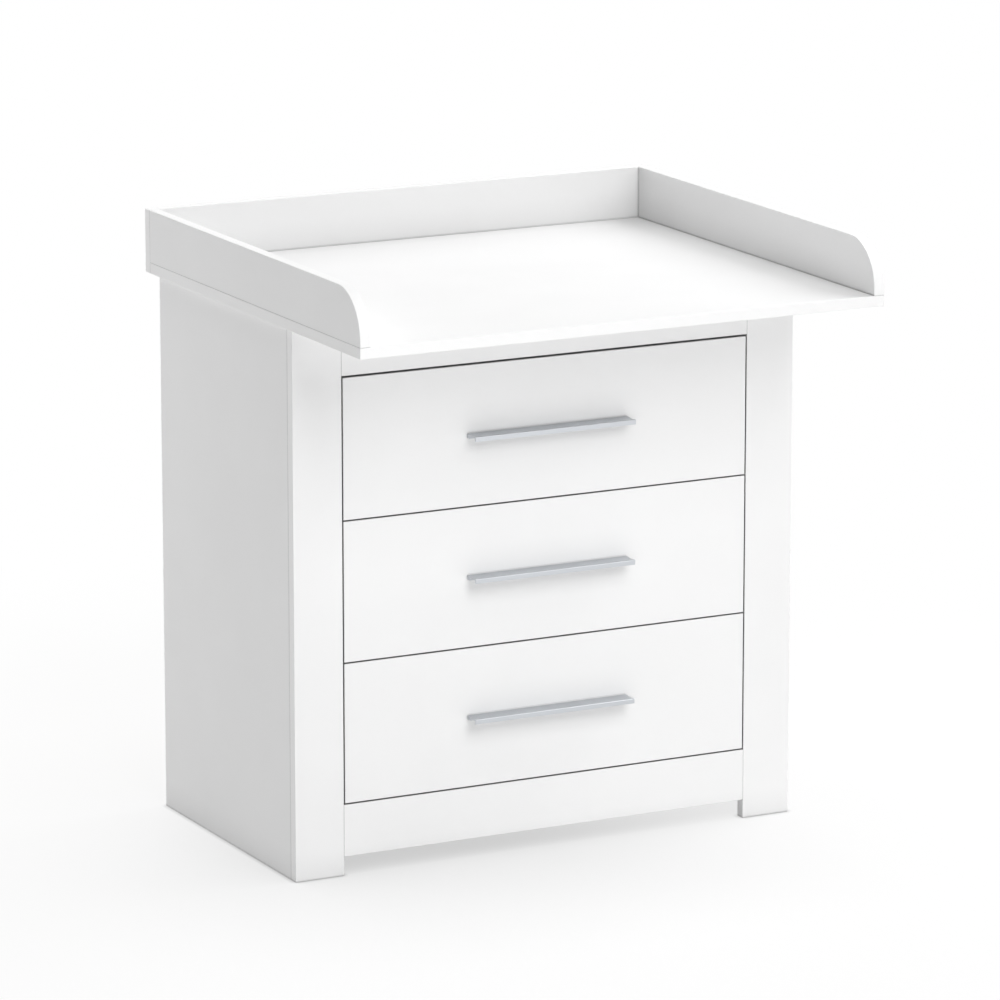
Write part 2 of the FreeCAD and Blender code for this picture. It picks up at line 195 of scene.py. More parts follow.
# ------------------------------------------------------------------ materials
# Clouds are the width of a slow drift of a colour. A relief is a pattern's depth.
PLASTIC_IOR = 1.5                   # melamine, foil, lacquer and epoxy, and near enough wood

BOARD_CLOUDS = 160 * MILLIMETRE     # drift of the melamine's white
BOARD_SHINE_DRIFT = 0.03            # of the melamine's roughness, either way

FOIL_CLOUDS = 100 * MILLIMETRE
CHIP_WIDTH = 3.5 * MILLIMETRE       # chipboard's surface chips
CHIP_RELIEF = 0.03 * MILLIMETRE     # what the foil lets through of them
FOIL_ROUGHNESS = {"To Min": 0.5, "To Max": 0.58}

FIBRE_WIDTH = 2.5 * MILLIMETRE      # clumps of fibres on a hardboard's bare face
FIBRE_RELIEF = 0.05 * MILLIMETRE
FIBRE_CLOUDS = 50 * MILLIMETRE
FIBRE_CLOUD_SHARE = 0.35            # how dark the clouds get, of the darker fibres
FIBRE_ROUGHNESS = 0.85
LACQUER_ROUGHNESS = 0.42
LEAST_LACQUERED = 0.5               # part of a normal to the lacquered side

BEECH_FLECK = 4 * MILLIMETRE
BEECH_STRETCH = (0.3, 0.3, 1)       # every dowel lies level, and the flecks run along it
BEECH_RELIEF = 0.05 * MILLIMETRE
BEECH_ROUGHNESS = 0.7

METAL_CLOUDS = 30 * MILLIMETRE
METAL_SHINE_DRIFT = 0.05            # of the handles' roughness, either way
LIP_HIGHLIGHT_FACING = {"From Min": 0.5, "From Max": 0.9}      # part of a normal to the front, over which the painted highlight fades in
BRUSHED_ANISOTROPY = 0.5

PEEL_WIDTH = 2 * MILLIMETRE         # orange peel of a powder coat
PEEL_RELIEF = 0.03 * MILLIMETRE
COAT_CLOUDS = 40 * MILLIMETRE
COAT_ROUGHNESS = {"To Min": 0.3, "To Max": 0.38}

ZINC_CLOUDS = 3 * MILLIMETRE
ZINC_RELIEF = 0.01 * MILLIMETRE
ZINC_ROUGHNESS = {"To Min": 0.22, "To Max": 0.4}

NYLON_FLOW = 1.5 * MILLIMETRE       # flow marks, and how far light goes into the nylon
NYLON_RELIEF = 0.01 * MILLIMETRE
NYLON_ROUGHNESS = {"To Min": 0.32, "To Max": 0.42}
NYLON_IOR = 1.53
NYLON_DEPTH_SHARE = 0.15            # of the light, that goes in


def melamine_board(thin_axis, look, seams=False):
    """White melamine-faced chipboard, hot pressed, with ABS bands on its edges.

    The press plate leaves a fine pearl grain, so its shine is broad and soft. The bands
    are extruded and buffed, so they are smoother and a touch brighter.
    """
    name = "melamine_faced_board_" + "xyz"[thin_axis] + ("_with_seams" if seams else "")
    material, tree, place = new_material(name)
    face = faces_along(tree, thin_axis)
    pearl = grain(tree, place, look.pearl_size, detail=3.0)
    tone = two_tones(tree, grain(tree, place, BOARD_CLOUDS), look.board_shade,
                     look.board_colour)
    colour = add_node(tree, MIX, {"Factor": face, "A": look.band_colour, "B": tone},
                      output="Result", data_type="RGBA")
    # Painted shade in the grooves between boards and in their inner corners
    colour = paint_joint_shade(tree, colour, face, look)
    if seams:
        colour = shade_post_seams(tree, place, colour, look)
    face_shine = add_node(tree, MAP_RANGE,
                          {"Value": pearl, **PATTERN_MIDDLE,
                           "To Min": look.board_roughness - BOARD_SHINE_DRIFT,
                           "To Max": look.board_roughness + BOARD_SHINE_DRIFT}, output="Result")
    shine = add_node(tree, MIX, {"Factor": face, "A": look.band_roughness, "B": face_shine},
                     output="Result")
    relief = add_node(tree, MATH, {0: pearl, 1: face}, output="Value", operation="MULTIPLY")
    end_in_surface(tree, relief, look.pearl_depth,
                   {"Base Color": colour, "Roughness": shine, "IOR": PLASTIC_IOR})
    return material


def foiled_board(look):
    """Drawer-side board wrapped in matt white foil, which shows the chips below faintly."""
    material, tree, place = new_material("foil_wrapped_drawer_board")
    chips = grain(tree, place, CHIP_WIDTH)
    colour = two_tones(tree, grain(tree, place, FOIL_CLOUDS), look.board_shade,
                       look.foil_colour)
    shine = add_node(tree, MAP_RANGE,
                     {"Value": chips, **PATTERN_MIDDLE, **FOIL_ROUGHNESS}, output="Result")
    end_in_surface(tree, chips, CHIP_RELIEF,
                   {"Base Color": colour, "Roughness": shine, "IOR": PLASTIC_IOR})
    return material


def hardboard(name, painted_axis, painted_sign, look):
    """Thin fibreboard: white lacquer on the face inside, bare brown fibre outside.

    The bare face is fuzzy, with short fibres in darker and lighter clouds.
    """
    material, tree, place = new_material(name)
    normal = add_node(tree, "ShaderNodeNewGeometry", output="True Normal")
    part = add_node(tree, "ShaderNodeSeparateXYZ", {"Vector": normal}).outputs[painted_axis]
    facing = add_node(tree, MATH, {0: part, 1: painted_sign}, output="Value",
                      operation="MULTIPLY")
    painted = add_node(tree, MATH, {0: facing, 1: LEAST_LACQUERED}, output="Value",
                       operation="GREATER_THAN")
    fibres = grain(tree, place, FIBRE_WIDTH, detail=6.0)
    fibre_tone = two_tones(tree, fibres, look.fibre_dark, look.fibre_light)
    bare = two_tones(tree, grain(tree, place, FIBRE_CLOUDS, detail=3.0), fibre_tone,
                     look.fibre_dark, share=FIBRE_CLOUD_SHARE)
    colour = add_node(tree, MIX, {"Factor": painted, "A": bare, "B": look.lacquer_colour},
                      output="Result", data_type="RGBA")
    shine = add_node(tree, MIX,
                     {"Factor": painted, "A": FIBRE_ROUGHNESS, "B": LACQUER_ROUGHNESS},
                     output="Result")
    end_in_surface(tree, fibres, FIBRE_RELIEF,
                   {"Base Color": colour, "Roughness": shine, "IOR": PLASTIC_IOR})
    return material


def beech(look):
    """Raw beech dowel: pale tan wood with short darker flecks along the grain."""
    material, tree, place = new_material("beech_dowel")
    flecks = grain(tree, place, BEECH_FLECK, detail=4.0, stretch=BEECH_STRETCH)
    colour = two_tones(tree, flecks, look.beech_dark, look.beech_light)
    end_in_surface(tree, flecks, BEECH_RELIEF,
                   {"Base Color": colour, "Roughness": BEECH_ROUGHNESS,
                    "IOR": PLASTIC_IOR})
    return material


def anodised_aluminium(look):
    """Extruded aluminium, brushed along its length and satin anodised.

    The lines run along X. They blur what the metal mirrors across them, so the flat top
    reads as an even grey. The lip's front face has a painted highlight: it is drawn in a
    lighter colour where it faces the front.
    """
    material, tree, place = new_material("satin_anodised_aluminium")
    along = look.brush_length / look.brush_spacing
    lines = grain(tree, place, look.brush_spacing, detail=3.0, stretch=(1 / along, 1, 1))
    colour = two_tones(tree, grain(tree, place, METAL_CLOUDS), look.metal_shade,
                       look.metal_colour)
    normal = add_node(tree, "ShaderNodeNewGeometry", output="True Normal")
    forward = add_node(tree, "ShaderNodeVectorMath", {0: normal, 1: (0, -1, 0)},
                       output="Value", operation="DOT_PRODUCT")
    # Painted highlight: the lip's front face turns a lighter colour where it faces the front.
    buffed = add_node(tree, MAP_RANGE, {"Value": forward, **LIP_HIGHLIGHT_FACING},
                      output="Result")
    colour = add_node(tree, MIX, {"Factor": buffed, "A": colour, "B": look.lip_highlight_colour},
                      output="Result", data_type="RGBA")
    shine = add_node(tree, MAP_RANGE,
                     {"Value": lines, **PATTERN_MIDDLE,
                      "To Min": look.metal_roughness - METAL_SHINE_DRIFT,
                      "To Max": look.metal_roughness + METAL_SHINE_DRIFT}, output="Result")
    end_in_surface(tree, lines, look.brush_depth,
                   {"Base Color": colour, "Metallic": 1.0, "Roughness": shine,
                    "Anisotropic": BRUSHED_ANISOTROPY})
    return material


def coated_steel(look):
    """Rolled sheet steel with a white epoxy powder coat, cured to a fine orange peel."""
    material, tree, place = new_material("epoxy_coated_steel")
    peel = grain(tree, place, PEEL_WIDTH, detail=1.0)
    colour = two_tones(tree, grain(tree, place, COAT_CLOUDS), look.coat_shade,
                       look.coat_colour)
    shine = add_node(tree, MAP_RANGE,
                     {"Value": peel, **PATTERN_MIDDLE, **COAT_ROUGHNESS}, output="Result")
    end_in_surface(tree, peel, PEEL_RELIEF,
                   {"Base Color": colour, "Roughness": shine, "IOR": PLASTIC_IOR})
    return material


def zinc_plated_steel(look):
    """Cold-headed steel with a bright zinc plating that clouds where it is handled."""
    material, tree, place = new_material("zinc_plated_steel")
    clouds = grain(tree, place, ZINC_CLOUDS, detail=4.0)
    colour = two_tones(tree, clouds, look.zinc_shade, look.zinc_colour)
    shine = add_node(tree, MAP_RANGE,
                     {"Value": clouds, **PATTERN_MIDDLE, **ZINC_ROUGHNESS}, output="Result")
    end_in_surface(tree, clouds, ZINC_RELIEF,
                   {"Base Color": colour, "Metallic": 1.0, "Roughness": shine})
    return material


def moulded_nylon(look):
    """Moulded white nylon: slightly waxy, with light going a little way in."""
    material, tree, place = new_material("moulded_nylon")
    flow = grain(tree, place, NYLON_FLOW)
    colour = two_tones(tree, flow, look.nylon_shade, look.nylon_colour)
    shine = add_node(tree, MAP_RANGE,
                     {"Value": flow, **PATTERN_MIDDLE, **NYLON_ROUGHNESS}, output="Result")
    end_in_surface(tree, flow, NYLON_RELIEF,
                   {"Base Color": colour, "Roughness": shine, "IOR": NYLON_IOR,
                    "Subsurface Weight": NYLON_DEPTH_SHARE, "Subsurface Scale": NYLON_FLOW})
    return material


def finish_node(name, material):
    """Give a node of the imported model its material."""
    for slot in frame["nodes"][name].material_slots:
        slot.material = material


# ------------------------------------------------------------------ settings
def colour_property(name, hex_code, description):
    """A colour that can be set, from its sRGB hex value."""
    return FloatVectorProperty(name=name, description=description, subtype="COLOR", size=3,
                               min=0, max=1, default=linear(hex_code))


def length_property(name, millimetres, description, least=0):
    """A length that can be set, and the least it can be, from millimetres."""
    return FloatProperty(name=name, description=description, unit="LENGTH",
                         min=least * MILLIMETRE, default=millimetres * MILLIMETRE)


def share_property(name, default, description):
    """A share from 0 to 1 that can be set."""
    return FloatProperty(name=name, description=description, subtype="FACTOR", min=0, max=1,
                         default=default)


class DresserBoardLook(bpy.types.PropertyGroup):
    """Colours and grain of the boards."""
    board_colour: colour_property("Board", "F2F2F2", "Melamine on the broad faces")
    board_shade: colour_property("Board shade", "F0F0F0", "Slightly darker drift of the boards")
    band_colour: colour_property("Edge band", "F3F3F3", "ABS band on the boards' edges")
    # The joint colour is painted shade in grooves and inner corners, and also the post seams'
    # dark line.
    joint_line_and_shade_colour: colour_property("Joint line and painted shade", "8C8C8C", "Grooves between two boards")
    groove_shade_reach: length_property("Groove shade reach", 4, "How near another board darkens an edge",
                                 least=0.5)
    corner_shade_reach: length_property("Corner shade reach", 45, "How far a corner is softly darker",
                                  least=1)
    corner_shade_depth: share_property("Corner shade depth", 0.12, "How much darker a corner is")
    seam_width: length_property("Seam", 1.4, "Half the drawn width of a post's glue line",
                                least=0.1)
    seam_depth: share_property("Seam depth", 0.7, "How dark a post's glue line is")
    foil_colour: colour_property("Drawer foil", "F0F0EC", "Foil round the drawer boards")
    lacquer_colour: colour_property("Lacquer", "EFEFEC", "Painted face of the thin panels")
    fibre_light: colour_property("Fibre", "B08A62", "Bare face of the thin panels")
    fibre_dark: colour_property("Fibre shade", "8F6B47", "Darker fibres of the bare face")
    beech_light: colour_property("Beech", "D9B382", "Dowels")
    beech_dark: colour_property("Beech fleck", "B98A5C", "Darker flecks of the dowels")
    board_roughness: share_property("Board roughness", 0.5, "Roughness of the melamine")
    band_roughness: share_property("Band roughness", 0.36, "Roughness of the edge bands")
    # The pearl grain is really about 0.3 mm wide. It is drawn coarser, to show.
    pearl_size: length_property("Pearl size", 1.4, "Width of the press plate's grain",
                                least=0.2)
    pearl_depth: length_property("Pearl depth", 0.02, "Depth of the press plate's grain")


class DresserMetalLook(bpy.types.PropertyGroup):
    """Colours and grain of the handles, the runners and the fasteners."""
    metal_colour: colour_property("Aluminium", "C3C6CA", "Anodised handles")
    metal_shade: colour_property("Aluminium shade", "BBBEC2", "Slightly darker drift")
    # Painted highlight on the lip's front face, in place of a lamp's shine.
    lip_highlight_colour: colour_property("Lip highlight", "C5C8CC", "Front face of a handle's lip")
    metal_roughness: share_property("Handle roughness", 0.34, "Roughness of the handles")
    # Brushed lines are really under 0.1 mm apart. They are drawn coarser, to show.
    brush_spacing: length_property("Brush spacing", 0.35, "Distance between brushed lines",
                                   least=0.1)
    brush_length: length_property("Brush length", 14, "Length of a brushed line", least=1)
    brush_depth: length_property("Brush depth", 0.004, "Depth of a brushed line")
    coat_colour: colour_property("Powder coat", "E9E8E3", "Runners")
    coat_shade: colour_property("Powder coat shade", "E2E1DB", "Darker drift of the runners")
    zinc_colour: colour_property("Zinc", "C9CBCD", "Screws and cam fittings")
    zinc_shade: colour_property("Zinc shade", "A9ACB0", "Clouds in the zinc")
    nylon_colour: colour_property("Nylon", "E8E7E1", "Rollers")
    nylon_shade: colour_property("Nylon shade", "DEDDD5", "Flow marks in the rollers")


class DresserScrewSizes(bpy.types.PropertyGroup):
    """Sizes of the cross-head screws."""
    guard_head_radius: length_property("Guard screw head", 5, "Radius of a countersunk head")
    guard_head_height: length_property("Guard screw cone", 3.5, "Depth of a countersunk head")
    guard_thread_radius: length_property("Guard screw thread", 3, "Over the thread's crest")
    guard_length: length_property("Guard screw length", 50, "Over all")
    guard_pitch: length_property("Guard screw pitch", 2.2, "From crest to crest")
    guard_inset: length_property("Guard screw inset", 140, "From a side guard's end")
    back_inset: length_property("Back guard screw inset", 205, "From the back guard's end")
    handle_head_radius: length_property("Handle screw head", 4.5, "Radius of a pan head")
    handle_head_height: length_property("Handle screw head height", 2.4, "Of a pan head")
    handle_thread_radius: length_property("Handle screw thread", 2, "Over the thread's crest")
    handle_pitch: length_property("Handle screw pitch", 0.7, "From crest to crest")
    runner_head_radius: length_property("Runner screw head", 3.4, "Radius of a flat head")
    runner_head_height: length_property("Runner screw head height", 1.0, "Of a flat head")
    runner_thread_radius: length_property("Runner screw thread", 1.75, "Over the crest")
    runner_length: length_property("Runner screw length", 9.5, "Below the head")
    runner_pitch: length_property("Runner screw pitch", 1.4, "From crest to crest")
    runner_inset: length_property("Runner screw inset", 45, "From a runner's end")
    runner_sheet: length_property("Runner sheet", 1.2, "Thickness of a runner's web")
    runner_count: IntProperty(name="Screws in a runner", default=3, min=2,
                              description="Along each runner")
    top_inset: length_property("Top screw inset", 90, "From the top panel's edges")
    top_length: length_property("Top screw length", 26, "Below the head")


class DresserStageLook(bpy.types.PropertyGroup):
    """Camera and light of the studio."""
    camera_yaw: FloatProperty(name="Camera yaw", default=math.radians(27.204),
                              description="Turn of the view from +Y towards +X",
                              subtype="ANGLE")
    camera_pitch: FloatProperty(name="Camera pitch", default=math.radians(13.011),
                                description="Tilt of the view below the horizon",
                                subtype="ANGLE")
    camera_distance: FloatProperty(name="Camera distance", default=8.527,
                                   description="From the camera to its target", unit="LENGTH")
    camera_lens: FloatProperty(name="Lens", default=216.6, unit="CAMERA",
                               description="Focal length in millimetres")
    camera_target: FloatVectorProperty(name="Camera target", default=(-0.0759, -0.118, 0.5207),
                                       description="Point that the camera looks at",
                                       subtype="TRANSLATION", unit="LENGTH")
    light_level: FloatProperty(name="Light level", default=0.94, min=0,
                               description="All lamps together")
    sky_strength: FloatProperty(name="Sky", default=0.02, min=0,
                                description="Light from all round")
    floor_colour: colour_property("Floor", "F3F3F3", "Floor, as the dresser sees it")
    shadow_share: share_property("Shadow", 0.12, "How strongly the floor shows shadows")
    # Painted shadow: the floor's white darkens by ambient occlusion by the boards, and in a
    # line under each board.
    contact_depth: share_property("Contact shadow", 0.34, "How dark the floor is by the boards")
    contact_reach: length_property("Contact reach", 500, "How far the contact shadow goes")
    foot_shadow_reach: length_property("Foot shadow", 9, "Width of the dark line under a board")
    contact_centre: FloatVectorProperty(name="Contact centre", default=(-0.25, -0.3, 0),
                                        description="Where the contact shadow is deepest",
                                        subtype="TRANSLATION", unit="LENGTH")


class DresserSettings(bpy.types.PropertyGroup):
    """All that can be changed on the dresser."""
    boards: PointerProperty(type=DresserBoardLook)
    metals: PointerProperty(type=DresserMetalLook)
    screws: PointerProperty(type=DresserScrewSizes)
    stage: PointerProperty(type=DresserStageLook)


# ------------------------------------------------------------------ boards
def thin_axis_of(name):
    """0, 1 or 2: the axis across a board's thickness."""
    low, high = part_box(name)
    size = high - low
    return min(range(3), key=lambda axis: size[axis])


class DRESSER_OT_finish_boards(bpy.types.Operator):
    """Face and band the boards, wrap the drawer boards and paint the thin panels"""
    bl_idname = "dresser.finish_boards"
    bl_label = "Boards"

    def execute(self, context):
        look = context.scene.changing_dresser.boards
        faced = [melamine_board(axis, look) for axis in range(3)]
        seamed = [melamine_board(axis, look, seams=True) for axis in range(2)]
        foil = foiled_board(look)
        back = hardboard("hardboard_back_panel", 1, -1, look)
        floors = hardboard("hardboard_drawer_bottom", 2, 1, look)
        wood = beech(look)
        for part in frame["record"]["subparts"]:
            name = part["node"]
            slot = part["material_slot"]
            if name.endswith(("_side_panel", "_front_post")):
                finish_node(name, seamed[thin_axis_of(name)])
            elif slot == "white_board":
                finish_node(name, faced[thin_axis_of(name)])
            elif slot == "drawer_board":
                finish_node(name, foil)
            elif slot == "dowel_wood":
                finish_node(name, wood)
            elif name == "back_panel":
                finish_node(name, back)
            elif slot == "hardboard":
                finish_node(name, floors)
        return {"FINISHED"}


# ------------------------------------------------------------------ metal and rollers
class DRESSER_OT_finish_fittings(bpy.types.Operator):
    """Anodise the handles, coat the runners, plate the fittings and mould the rollers"""
    bl_idname = "dresser.finish_fittings"
    bl_label = "Handles, runners and fittings"

    def execute(self, context):
        look = context.scene.changing_dresser.metals
        finishes = {
            "handle_aluminium": anodised_aluminium(look),
            "runner_steel": coated_steel(look),
            "fitting_steel": zinc_plated_steel(look),
            "roller_nylon": moulded_nylon(look),
        }
        for part in frame["record"]["subparts"]:
            if part["material_slot"] in finishes:
                finish_node(part["node"], finishes[part["material_slot"]])
        return {"FINISHED"}


# ------------------------------------------------------------------ screws
SIDES = 24              # of every ring of a screw: its corners fall on those of the recess
THREAD_ROWS = 6         # rings for each turn of a thread
THREAD_CORE = 0.68      # of the radius over the crest
CREST_SLOPE = 1.8       # how sharply a crest rises: the rest of a turn is core
POINT_LENGTH = 2        # of the radius over the crest
POINT_BLUNTNESS = 0.12  # the point's radius, of the thread's
RECESS_REACH = 0.52     # of the head's radius
RECESS_ARM = math.radians(15)       # half of what an arm's end spans, seen from the middle
RECESS_DEPTH = 0.55     # of the head's height, or of LEAST_HEAD where that is more
LEAST_HEAD = 0.4        # of the head's radius
RECESS_TAPER = 0.6      # the recess's reach at its bottom, of that at its top
LEAST_SLOPE = 1e-6      # keeps a division by zero off a ring's corners on its axes
SHARP_EDGE = math.radians(35)       # the least turn between faces that stays sharp
HEAD_PROFILES = {       # height and radius of each ring, as shares of the head's
    "countersunk": ((-0.1, 1), (0, 1)),
    "pan": ((0, 0.98), (0.3, 1), (0.62, 0.94), (0.88, 0.78)),
    "flat": ((0, 1), (0.6, 1), (1, 0.88)),
}


def cross_ring(height, reach):
    """A ring in the shape of a driver's cross, whose arms reach this far."""
    half_width = reach * math.tan(RECESS_ARM)
    radii = []
    for side in range(SIDES):
        angle = 2 * math.pi * side / SIDES
        across = max(abs(math.cos(angle)), LEAST_SLOPE)
        along = max(abs(math.sin(angle)), LEAST_SLOPE)
        radii.append(max(min(reach / across, half_width / along),
                         min(half_width / across, reach / along)))
    return height, radii


def thread_rings(bottom, top, radius, pitch):
    """Rings of a right-handed thread that runs out to a point at its lower end."""
    core = THREAD_CORE * radius
    rings = []
    rows = round((top - bottom) / pitch * THREAD_ROWS)
    for row in range(rows + 1):
        height = bottom + (top - bottom) * row / rows
        taper = min(1, POINT_BLUNTNESS + (height - bottom) / (POINT_LENGTH * radius))
        run_out = min(1, (top - height) / pitch)
        radii = []
        for side in range(SIDES):
            phase = (height / pitch - side / SIDES) % 1
            crest = max(0, 1 - abs(2 * phase - 1) * CREST_SLOPE) * run_out
            radii.append(taper * (core + (radius - core) * crest))
        rings.append((height, radii))
    return rings


def head_rings(kind, radius, height):
    """Rings of a head whose seat, or for a countersunk head whose top, is at height 0."""
    rings = [(rise * height, [share * radius] * SIDES) for rise, share in HEAD_PROFILES[kind]]
    top = 0 if kind == "countersunk" else height
    reach = RECESS_REACH * radius
    depth = RECESS_DEPTH * max(height, LEAST_HEAD * radius)
    return rings + [cross_ring(top, reach), cross_ring(top - depth, RECESS_TAPER * reach)]


def screw_shape(name, kind, head_radius, head_height, radius, length, pitch):
    """One screw along +Z, with its head up, as an object that isn't in the scene."""
    neck = -head_height if kind == "countersunk" else 0
    rings = thread_rings(-length, neck, radius, pitch)
    rings += head_rings(kind, head_radius, head_height)
    mesh = bmesh.new()
    loops = []
    for height, radii in rings:
        loops.append([mesh.verts.new((r * math.cos(2 * math.pi * i / SIDES),
                                      r * math.sin(2 * math.pi * i / SIDES), height))
                      for i, r in enumerate(radii)])
    for low, high in zip(loops, loops[1:]):
        for i in range(SIDES):
            j = (i + 1) % SIDES
            mesh.faces.new((low[i], low[j], high[j], high[i]))
    mesh.faces.new(loops[0][::-1])
    mesh.faces.new(loops[-1])
    data = bpy.data.meshes.new(name)
    mesh.to_mesh(data)
    mesh.free()
    data.shade_smooth()
    data.set_sharp_from_angle(angle=SHARP_EDGE)
    return bpy.data.objects.new(name, data)


def screw_row_tree():
    """Geometry Nodes: one screw repeated along a line, turned to face one way."""
    tree = bpy.data.node_groups.new("screw_row", "GeometryNodeTree")
    ends = tree.interface
    ends.new_socket("Geometry", in_out="INPUT", socket_type="NodeSocketGeometry")
    for label, kind in (("Screw", "Object"), ("Count", "Int"), ("Start", "Vector"),
                        ("Step", "Vector"), ("Turn", "Vector"), ("Finish", "Material")):
        ends.new_socket(label, in_out="INPUT", socket_type="NodeSocket" + kind)
    ends.new_socket("Geometry", in_out="OUTPUT", socket_type="NodeSocketGeometry")
    given = add_node(tree, "NodeGroupInput").outputs
    line = add_node(tree, "GeometryNodeMeshLine",
                    {"Count": given["Count"], "Start Location": given["Start"],
                     "Offset": given["Step"]}, output="Mesh", mode="OFFSET")
    screw = add_node(tree, "GeometryNodeObjectInfo", {"Object": given["Screw"]},
                     output="Geometry")
    turn = add_node(tree, "FunctionNodeEulerToRotation", {"Euler": given["Turn"]},
                    output="Rotation")
    placed = add_node(tree, "GeometryNodeInstanceOnPoints",
                      {"Points": line, "Instance": screw, "Rotation": turn},
                      output="Instances")
    real = add_node(tree, "GeometryNodeRealizeInstances", {"Geometry": placed},
                    output="Geometry")
    finished = add_node(tree, "GeometryNodeSetMaterial",
                        {"Geometry": real, "Material": given["Finish"]}, output="Geometry")
    add_node(tree, "NodeGroupOutput", {"Geometry": finished})
    return tree


def screw_row(screw, outward, start, step, count=2):
    """The plain mesh of one row of zinc-plated screws whose heads face outward."""
    tree = bpy.data.node_groups.get("screw_row") or screw_row_tree()
    carrier = bpy.data.objects.new("screw_row", bpy.data.meshes.new("screw_row"))
    bpy.context.scene.collection.objects.link(carrier)
    modifier = carrier.modifiers.new("screw_row", "NODES")
    modifier.node_group = tree
    turn = Vector(outward).to_track_quat("Z", "Y").to_euler()
    values = {"Screw": screw, "Count": count, "Start": tuple(start), "Step": tuple(step),
              "Turn": tuple(turn), "Finish": bpy.data.materials["zinc_plated_steel"]}
    for item in tree.interface.items_tree:
        if item.in_out == "INPUT" and item.name in values:
            modifier[item.identifier] = values[item.name]
    ready = carrier.evaluated_get(bpy.context.evaluated_depsgraph_get())
    mesh = bpy.data.meshes.new_from_object(ready)
    carrier.modifiers.remove(modifier)
    bpy.data.objects.remove(carrier)
    return mesh


def rows_from_below(screw, reach, board, inset):
    """Two upright screws at each side of a board, this far from its middle and its ends."""
    low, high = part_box(board)
    first_y = low.y + inset
    run = high.y - inset - first_y
    return [screw_row(screw, (0, 0, -1), (x, first_y, low.z), (0, run, 0))
            for x in (-reach, reach)]


def add_screws(name, body, rows, replaced=None):
    """Join rows of screws into one piece that rides on a body."""
    joined = bmesh.new()
    for row in rows:
        joined.from_mesh(row)
    mesh = bpy.data.meshes.new(name)
    joined.to_mesh(mesh)
    joined.free()
    if not mesh.polygons:
        raise RuntimeError(name + " came out empty")
    mesh.materials.append(rows[0].materials[0])
    piece = bpy.data.objects.new(name, mesh)
    bpy.context.scene.collection.objects.link(piece)
    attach(piece, body)
    if replaced:
        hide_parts(replaced)


class DRESSER_OT_drive_guard_screws(bpy.types.Operator):
    """Screw the changing board to its side guards from below, and the back guard to it"""
    bl_idname = "dresser.drive_guard_screws"
    bl_label = "Guard screws"

    def execute(self, context):
        sizes = context.scene.changing_dresser.screws
        screw = screw_shape("guard_screw", "countersunk", sizes.guard_head_radius,
                            sizes.guard_head_height, sizes.guard_thread_radius,
                            sizes.guard_length, sizes.guard_pitch)
        screws_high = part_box("guard_rail_screws")[1]
        board_low, board_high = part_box("changing_board")
        reach = screws_high.x - sizes.guard_head_radius
        rows = rows_from_below(screw, reach, "changing_board", sizes.guard_inset)
        back_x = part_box("back_guard_rail")[1].x - sizes.back_inset
        rows.append(screw_row(screw, (0, 1, 0),
                              (-back_x, screws_high.y, (board_low.z + board_high.z) / 2),
                              (2 * back_x, 0, 0)))
        add_screws("cross_head_guard_screws", "carcass", rows, "guard_rail_screws")
        return {"FINISHED"}


class DRESSER_OT_drive_handle_screws(bpy.types.Operator):
    """Screw each handle on, from inside its drawer front"""
    bl_idname = "dresser.drive_handle_screws"
    bl_label = "Handle screws"

    def execute(self, context):
        sizes = context.scene.changing_dresser.screws
        for drawer in DRAWERS:
            node = drawer + "_drawer_handle_screws"
            low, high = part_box(node)
            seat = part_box(drawer + "_drawer_front")[1].y
            screw = screw_shape("handle_screw", "pan", sizes.handle_head_radius,
                                sizes.handle_head_height, sizes.handle_thread_radius,
                                seat - low.y, sizes.handle_pitch)
            start = (low.x + sizes.handle_head_radius, seat, (low.z + high.z) / 2)
            span = high.x - low.x - 2 * sizes.handle_head_radius
            add_screws(drawer + "_drawer_cross_head_handle_screws", drawer + "_drawer",
                       [screw_row(screw, (0, 1, 0), start, (span, 0, 0))], node)
        return {"FINISHED"}


class DRESSER_OT_drive_runner_screws(bpy.types.Operator):
    """Screw the runners to the inner walls and to the drawer sides, through their webs"""
    bl_idname = "dresser.drive_runner_screws"
    bl_label = "Runner screws"

    def execute(self, context):
        sizes = context.scene.changing_dresser.screws
        screw = screw_shape("runner_screw", "flat", sizes.runner_head_radius,
                            sizes.runner_head_height, sizes.runner_thread_radius,
                            sizes.runner_length, sizes.runner_pitch)
        cabinet_rows = []
        for drawer in DRAWERS:
            drawer_rows = []
            for sign, hand in ((-1, "left"), (1, "right")):
                low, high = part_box(hand + "_" + drawer + "_cabinet_runner")
                first_y = low.y + sizes.runner_inset
                run = high.y - sizes.runner_inset - first_y
                step = (0, run / (sizes.runner_count - 1), 0)
                middle_z = (low.z + high.z) / 2
                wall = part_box(hand + "_inner_wall")
                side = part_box(drawer + "_drawer_" + hand + "_side")
                wall_web = min(abs(wall[0].x), abs(wall[1].x)) - sizes.runner_sheet
                side_web = max(abs(side[0].x), abs(side[1].x)) + sizes.runner_sheet
                cabinet_rows.append(screw_row(
                    screw, (-sign, 0, 0), (sign * wall_web, first_y, middle_z), step,
                    sizes.runner_count))
                drawer_rows.append(screw_row(
                    screw, (sign, 0, 0), (sign * side_web, first_y, middle_z), step,
                    sizes.runner_count))
            add_screws(drawer + "_drawer_runner_screws", drawer + "_drawer", drawer_rows)
        add_screws("cabinet_runner_screws", "carcass", cabinet_rows)
        return {"FINISHED"}


class DRESSER_OT_drive_top_screws(bpy.types.Operator):
    """Screw the carcass to the changing board, up through the carcass top panel"""
    bl_idname = "dresser.drive_top_screws"
    bl_label = "Changing top screws"

    def execute(self, context):
        sizes = context.scene.changing_dresser.screws
        screw = screw_shape("top_screw", "pan", sizes.handle_head_radius,
                            sizes.handle_head_height, sizes.handle_thread_radius,
                            sizes.top_length, sizes.runner_pitch)
        reach = abs(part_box("left_inner_wall")[1].x) - sizes.top_inset
        rows = rows_from_below(screw, reach, "carcass_top_panel", sizes.top_inset)
        add_screws("changing_top_screws", "carcass", rows)
        return {"FINISHED"}


